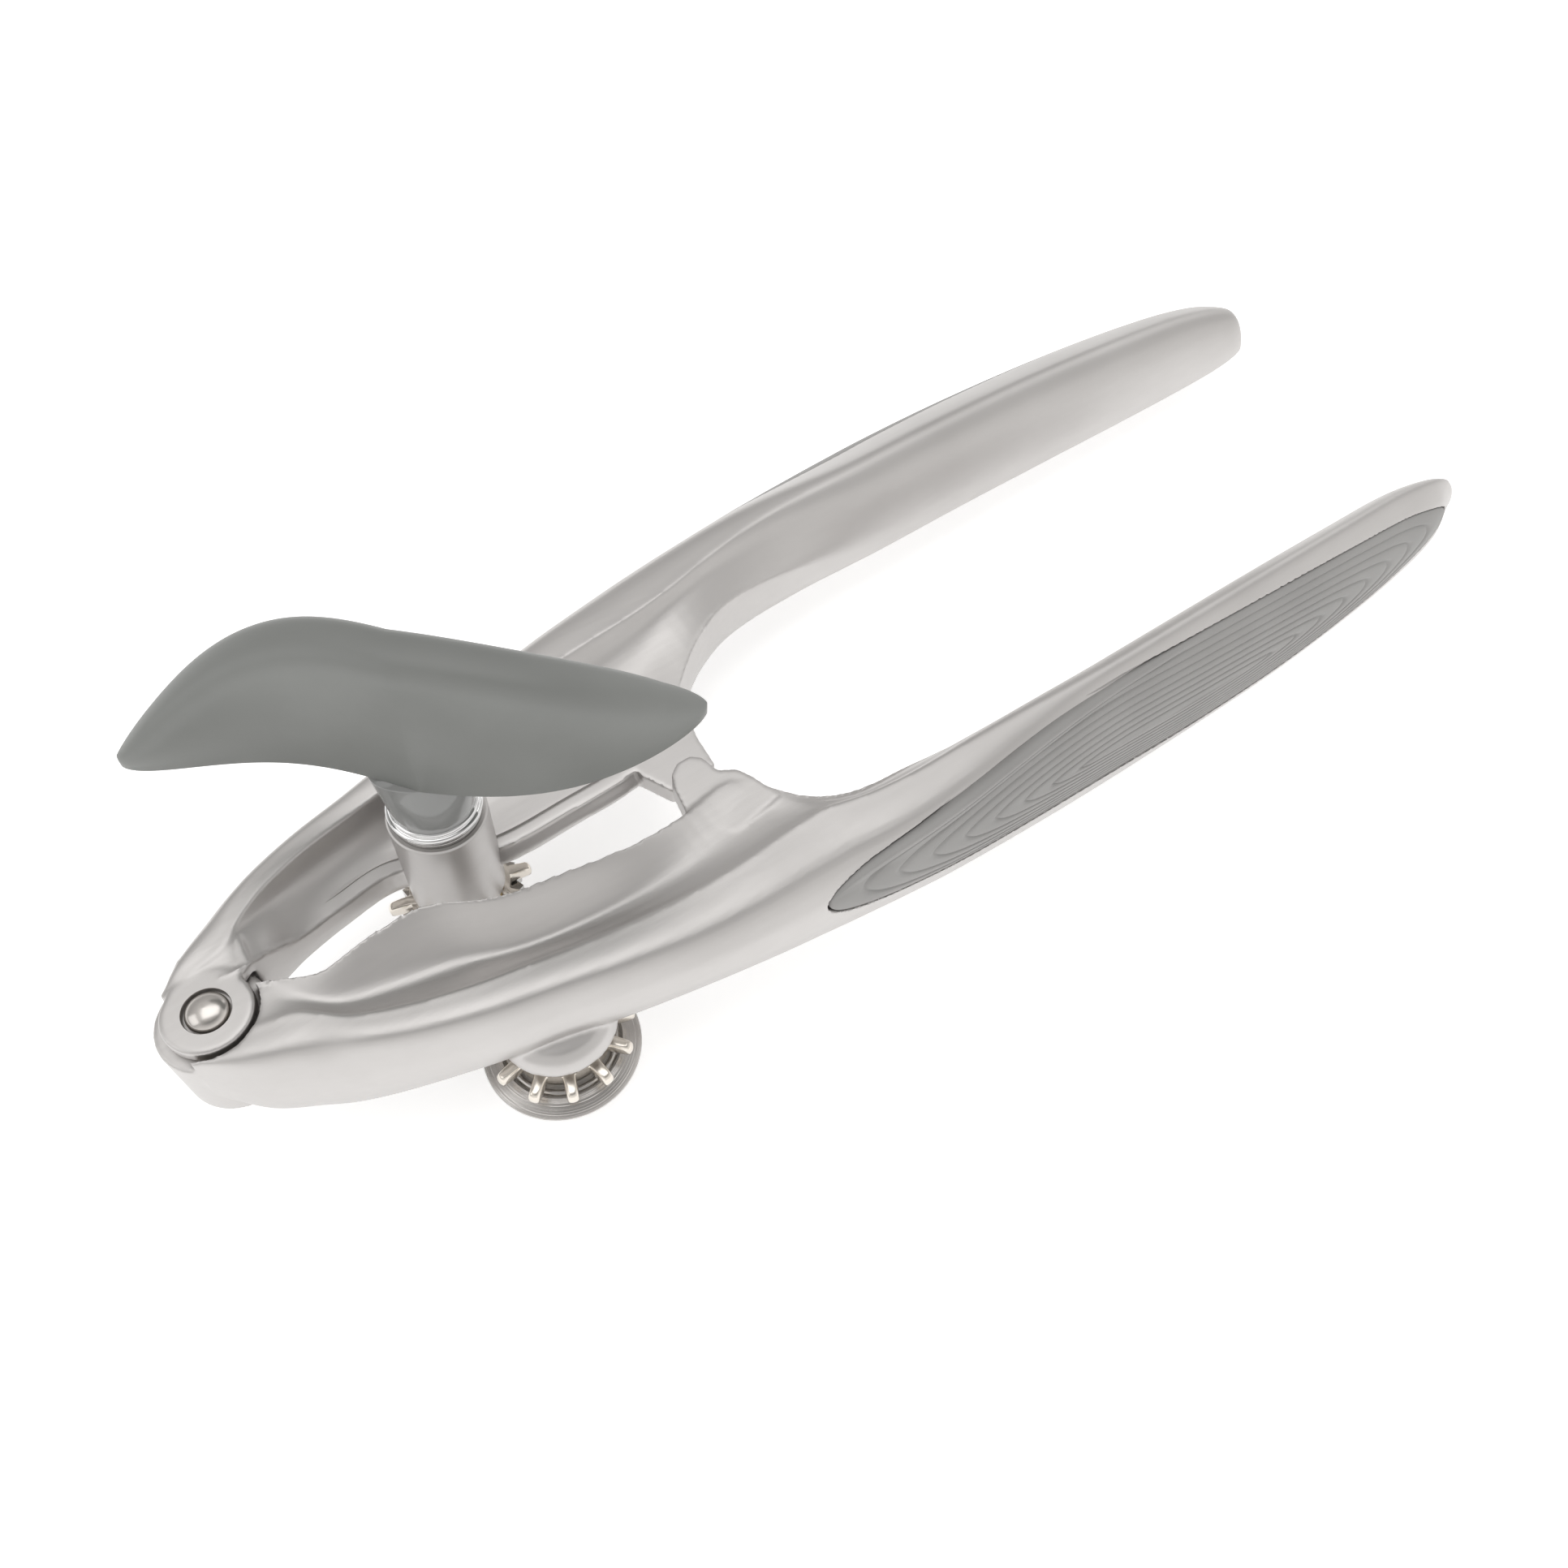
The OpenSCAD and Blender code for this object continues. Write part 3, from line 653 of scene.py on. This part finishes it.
def wing():
    """The key's S-shaped wing, with a full rounded crown and a crisp lower edge."""
    steps, arc = 120, 14
    points = []
    for i in range(steps + 1):
        t = math.sin(math.pi / 2 * (2 * i / steps - 1))
        if t < 0:
            mid = np.array([30.0 * t, -4.4 * math.sin(math.pi * t)])
        else:
            mid = np.array([32.3 * t, -2.8 * math.sin(math.pi * t)])
        half = 0.05 + 3.45 * math.sqrt(max(0.0, 1 - abs(t) ** 5))
        top = WING_TOP - 14 * abs(t) ** 2.2
        foot = WING_BOTTOM + 6 * abs(t) ** 1.6
        rise = min(3.2, 0.45 * (top - foot))
        edge = min(0.35, 0.4 * half)
        ring = [(-half + edge, foot), (-half, foot + edge)]
        for k in range(arc + 1):
            a = math.pi * (1 - k / arc)
            c, s = math.cos(a), math.sin(a)
            ring.append((half * math.copysign(abs(c) ** 0.8, c),
                         top - rise + rise * abs(s) ** 0.8))
        ring += [(half, foot + edge), (half - edge, foot)]
        for n, z in ring:
            x, y = mid[0], mid[1] + n
            points.append((
                DRIVE[0] + x * math.cos(WING_ANGLE) - y * math.sin(WING_ANGLE),
                DRIVE[1] + x * math.sin(WING_ANGLE) + y * math.cos(WING_ANGLE), z))
        count = len(ring)
    faces = loft_faces(steps + 1, count)
    return mesh_object("key_wing", points, faces)


show(wing(), KEY, "drive", "knob_wing")


def key_stem():
    """Stem that is round at its foot and runs as thin as the wing at its top."""
    profile = [(4.85, STEM_BOTTOM), (5.1, STEM_BOTTOM + 0.2), (5.2, STEM_BOTTOM + 1.2),
               (5.5, 12.6), (5.85, 14.4), (6.1, WING_BOTTOM), (6.1, WING_BOTTOM + 0.3)]
    points, steps = [], 96
    for r, z in profile:
        t = (z - STEM_BOTTOM) / (WING_BOTTOM - STEM_BOTTOM)
        depth = r - (r - 3.3) * min(1.0, t) ** 1.3
        for k in range(steps):
            a = math.tau * k / steps
            x, y = r * math.cos(a), depth * math.sin(a)
            points.append((
                DRIVE[0] + x * math.cos(WING_ANGLE) - y * math.sin(WING_ANGLE),
                DRIVE[1] + x * math.sin(WING_ANGLE) + y * math.cos(WING_ANGLE), z))
    return mesh_object("key_stem", points, loft_faces(len(profile), steps))


show(key_stem(), STEM, "drive", "knob_stem")
collar = turned("key_collar", DRIVE, [
    (3.2, 8.2), (5.4, 8.2), (5.62, 8.32), (5.7, 8.55), (5.62, 8.8), (5.35, 8.92),
    (5.12, 8.95), (5.2, 9.05), (5.3, 9.22), (5.26, 9.45), (5.0, 9.6), (3.2, 9.6)])
show(collar, CHROME, "drive", "knob_collar")
bush = turned("bushing_flange", DRIVE, [
    (3.08, BOSS_BOTTOM), (4.38, BOSS_BOTTOM), (4.38, 7.0), (5.3, 7.02), (5.4, 7.1),
    (5.4, 7.6), (5.3, 7.7), (3.2, 7.7), (3.08, 7.6), (3.08, BOSS_BOTTOM)])
show(bush, TURNED, "key_arm", "shaft_bushing")
rivet = turned("rivet_head", (0, 0), [
    (0.0, -11.6), (2.1, -11.6), (2.4, -11.4), (2.4, -11.1), (1.8, -11.1), (1.8, 1.02),
    (2.42, 1.02), (2.46, 1.3), (2.42, 1.7), (2.3, 2.02), (2.05, 2.3), (1.7, 2.52),
    (1.25, 2.7), (0.7, 2.82), (0.0, 2.86)])
show(rivet, BRIGHT, "cutter_arm", "pivot_rivet")

# ------------------------------------------------------------------- gears


def gear(name, at, phase, bore):
    """Cast gear: twelve long teeth, rounded over all their edges."""
    per_tooth, root, tip = 32, 6.5, 9.45
    layers = [(1.0, 0.05), (0.45, 0.2), (0.12, 0.45), (0.0, 0.8), (0.1, 1.2), (0.35, 1.55),
              (0.7, 1.8), (1.2, 1.98), (1.9, 2.06)]
    points = []
    for shrink, height in layers:
        for k in range(GEAR_TEETH * per_tooth):
            u = abs((k / per_tooth) % 1.0 - 0.5)
            flank = np.clip((0.26 - 0.035 * shrink - u) / 0.13, 0, 1)
            lift = flank * flank * (3 - 2 * flank)
            reach = tip - 0.45 * shrink - 9.0 * u * u
            r = root + (reach - root) * lift
            a = phase + math.tau * (k / per_tooth - 0.5) / GEAR_TEETH
            points.append((at[0] + r * math.cos(a), at[1] + r * math.sin(a),
                           GEAR_BOTTOM + height))
    body = mesh_object(name, points, loft_faces(len(layers), GEAR_TEETH * per_tooth))
    boolean(body, post("hole", at, bore, -20, 0), "DIFFERENCE")
    body.data.shade_smooth()
    body.data.set_sharp_from_angle(angle=math.radians(50))
    return body


show(gear("drive_gear_cast", DRIVE, DRIVE_PHASE, 3.1), NICKEL,
     "drive", "drive_gear")
show(gear("cutter_gear_cast", CUTTER, CUTTER_PHASE, 3.3), NICKEL,
     "cutter", "cutter_gear")
wheel = turned("cutter_disc", CUTTER, [
    (3.3, -16.55), (3.3, -14.9), (5.0, -14.85), (5.3, -14.95), (5.4, -15.1), (6.1, -15.12),
    (6.2, -14.95), (6.9, -14.93), (7.0, -15.06), (7.35, -15.06), (7.45, -14.86),
    (7.7, -14.86), (9.86, -15.9), (9.98, -16.0), (9.9, -16.08), (7.0, -16.58),
    (3.3, -16.58)], 144)
show(wheel, CUTTER_STEEL, "cutter", "cutter_wheel")

# --------------------------------------------------------- CAD nodes' looks

LOOKS = {
    "pivot_washer": BRASS, "pivot_burr_washer": BRIGHT, "drive_shaft": BRIGHT,
    "knob_pin": BRIGHT, "wave_washer": BRIGHT, "thrust_washer": BRASS,
    "feed_wheel": TURNED, "feed_nut": BRIGHT, "cutter_axle": BRIGHT,
    "cutter_sleeve": BRASS, "cutter_spring_washer": BRIGHT,
    "cutter_spacer": TURNED}
for node_name, look in LOOKS.items():
    paint(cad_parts[node_name], look)


# ------------------------------------------------------------ floor, lights


def area_light(name, at, size, power):
    """Softbox that points at the middle of the tool."""
    data = bpy.data.lights.new(name, "AREA")
    data.shape = "RECTANGLE"
    data.size, data.size_y = size
    data.energy = power
    lamp = bpy.data.objects.new(name, data)
    lamp.location = at
    lamp.rotation_euler = (-Vector(at)).to_track_quat("-Z", "Y").to_euler()
    bpy.context.scene.collection.objects.link(lamp)


# Sky brightness by the sine of the elevation, behind the tool and before it
SKY_BACK = [(0.0, 0.92), (0.28, 0.45), (0.55, 0.56), (0.82, 0.76), (1.0, 0.9)]
SKY_FRONT = [(0.0, 1.0), (0.30, 0.98), (0.60, 0.80), (0.88, 0.26), (1.0, 0.65)]
# Softboxes: name, place, size and power
LAMPS = [("overhead", (0.05, 0.15, 0.9), (0.9, 0.6), 1.7),
         ("left", (-0.8, 0.25, 0.55), (0.6, 0.6), 1.0),
         ("right", (0.9, 0.3, 0.5), (0.5, 0.5), 0.5)]


def sky_ramp(tree, height, stops):
    ramp = tree.nodes.new("ShaderNodeValToRGB")
    tree.links.new(height, ramp.inputs["Fac"])
    elements = ramp.color_ramp.elements
    for _ in stops[2:]:
        elements.new(0.5)
    for element, (position, level) in zip(elements, stops):
        element.position = position
        element.color = (level, 0.988 * level, 0.972 * level, 1.0)
    return ramp.outputs["Color"]


def studio():
    """White floor, sky and softboxes."""
    n = Nodes("floor_white")
    cloud = n.noise((1, 1, 1), 12.0)
    n.link(n.ramp(cloud, [(0.3, (0.93, 0.93, 0.93)), (0.7, (0.95, 0.95, 0.95))]),
           "Base Color")
    n.shader.inputs["Roughness"].default_value = 0.9
    n.shader.inputs["Emission Color"].default_value = (1.0, 1.0, 1.0, 1.0)
    n.shader.inputs["Emission Strength"].default_value = 0.5
    mesh = bpy.data.meshes.new("floor")
    s = 6.0
    mesh.from_pydata([(-s, -s, 0), (s, -s, 0), (s, s, 0), (-s, s, 0)], [], [(0, 1, 2, 3)])
    floor = bpy.data.objects.new("floor", mesh)
    bpy.context.scene.collection.objects.link(floor)
    floor.location.z = -0.0005
    paint(floor, n.material)
    world = bpy.data.worlds.new("studio")
    bpy.context.scene.world = world
    world.use_nodes = True
    tree = world.node_tree
    back = tree.nodes["Background"]
    where = tree.nodes.new("ShaderNodeTexCoord").outputs["Generated"]
    split = tree.nodes.new("ShaderNodeSeparateXYZ")
    tree.links.new(where, split.inputs[0])
    side = tree.nodes.new("ShaderNodeMapRange")
    side.inputs["From Min"].default_value = -0.45
    side.inputs["From Max"].default_value = 0.15
    side.interpolation_type = "SMOOTHSTEP"
    tree.links.new(split.outputs["Y"], side.inputs["Value"])
    mix = tree.nodes.new("ShaderNodeMixRGB")
    tree.links.new(side.outputs["Result"], mix.inputs["Fac"])
    tree.links.new(sky_ramp(tree, split.outputs["Z"], SKY_FRONT), mix.inputs["Color1"])
    tree.links.new(sky_ramp(tree, split.outputs["Z"], SKY_BACK), mix.inputs["Color2"])
    tree.links.new(mix.outputs["Color"], back.inputs["Color"])
    back.inputs["Strength"].default_value = 1.0
    for name, at, size, power in LAMPS:
        area_light(name, at, size, power)


def camera():
    """Camera at the photograph's angle."""
    data = bpy.data.cameras.new("photo_angle")
    data.lens = 27.97
    data.sensor_width = 36.0
    data.clip_start = 0.01
    eye = bpy.data.objects.new("photo_angle", data)
    bpy.context.scene.collection.objects.link(eye)
    forward = Vector((0.3977, 0.4048, -0.8234)).normalized()
    up = Vector((0.495, 0.661, 0.564))
    right = forward.cross(up).normalized()
    up = right.cross(forward)
    turn = Matrix((right, up, -forward)).transposed()
    eye.matrix_world = Matrix.Translation(metres((8.21, -78.27, 131.0))) @ turn.to_4x4()
    bpy.context.scene.camera = eye


studio()
camera()
bpy.context.scene.view_settings.view_transform = "Standard"
